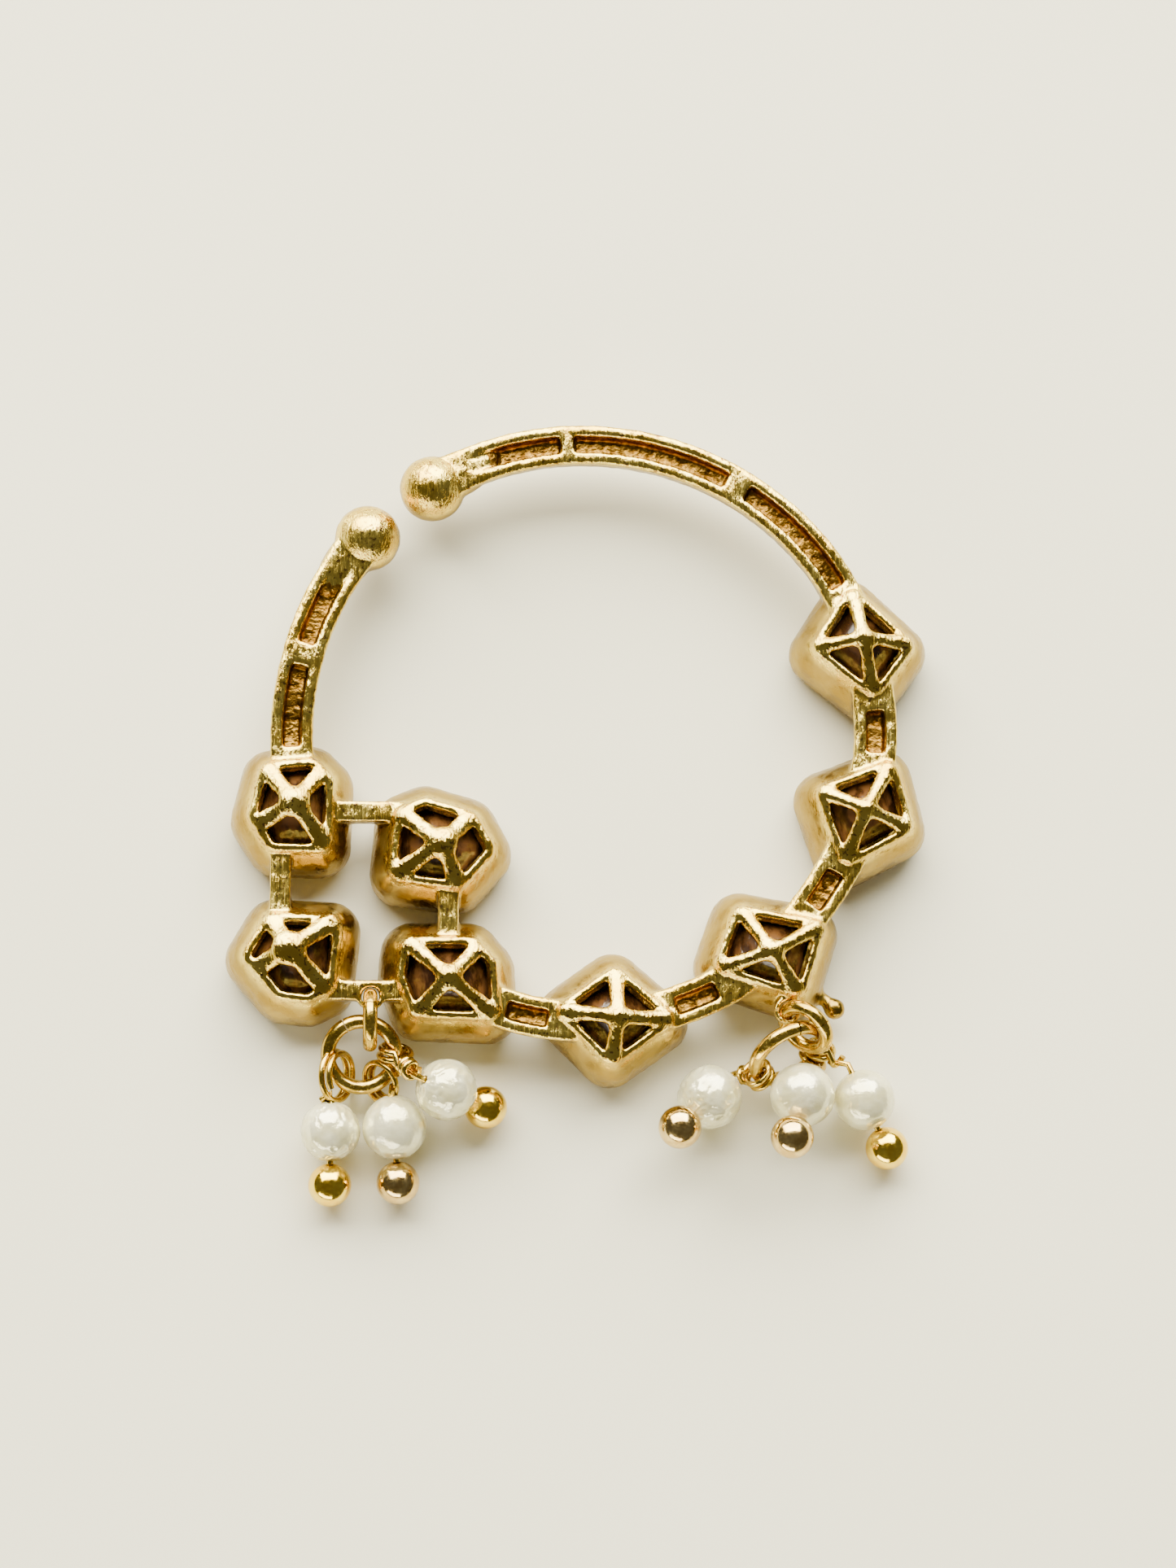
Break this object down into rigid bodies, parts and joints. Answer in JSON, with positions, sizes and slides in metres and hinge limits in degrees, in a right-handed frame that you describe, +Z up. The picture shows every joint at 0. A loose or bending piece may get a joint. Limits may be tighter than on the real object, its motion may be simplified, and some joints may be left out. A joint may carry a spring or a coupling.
{
  "type": "nath nose ring",
  "caption": "Press-on hoop nose ring in cast gilt metal with eight pyramid-backed stone settings and two clusters of pearl drops, lying on its front.",
  "frame": {"origin": "centre of the object's box on the surface it lies on", "axes": "+Z up out of the open backs of the settings, +Y towards the top of the hoop, away from the drops, +X to the right in the picture"},
  "size_m": [0.0304, 0.0338, 0.0045],
  "materials": {
    "cast_gilt": "brushed",
    "wire_gilt": "polished",
    "yellow_gilt": "polished",
    "rose_gilt": "polished",
    "brown_stone": "polished",
    "pearl": "satin"
  },
  "bodies": {
    "root": {"cast_frame": "cast_gilt", "stone_1": "brown_stone", "stone_2": "brown_stone", "stone_3": "brown_stone", "stone_4": "brown_stone", "stone_5": "brown_stone", "stone_6": "brown_stone", "stone_7": "brown_stone", "stone_8": "brown_stone", "left_upper_link": "wire_gilt", "left_lower_link": "wire_gilt", "right_upper_link": "wire_gilt", "right_lower_link": "wire_gilt", "left_pin_1": "yellow_gilt", "left_pin_2": "rose_gilt", "left_pin_3": "yellow_gilt", "right_pin_1": "rose_gilt", "right_pin_2": "rose_gilt", "right_pin_3": "yellow_gilt", "left_pearl_1": "pearl", "left_pearl_2": "pearl", "left_pearl_3": "pearl", "right_pearl_1": "pearl", "right_pearl_2": "pearl", "right_pearl_3": "pearl"}
  },
  "joints": []
}
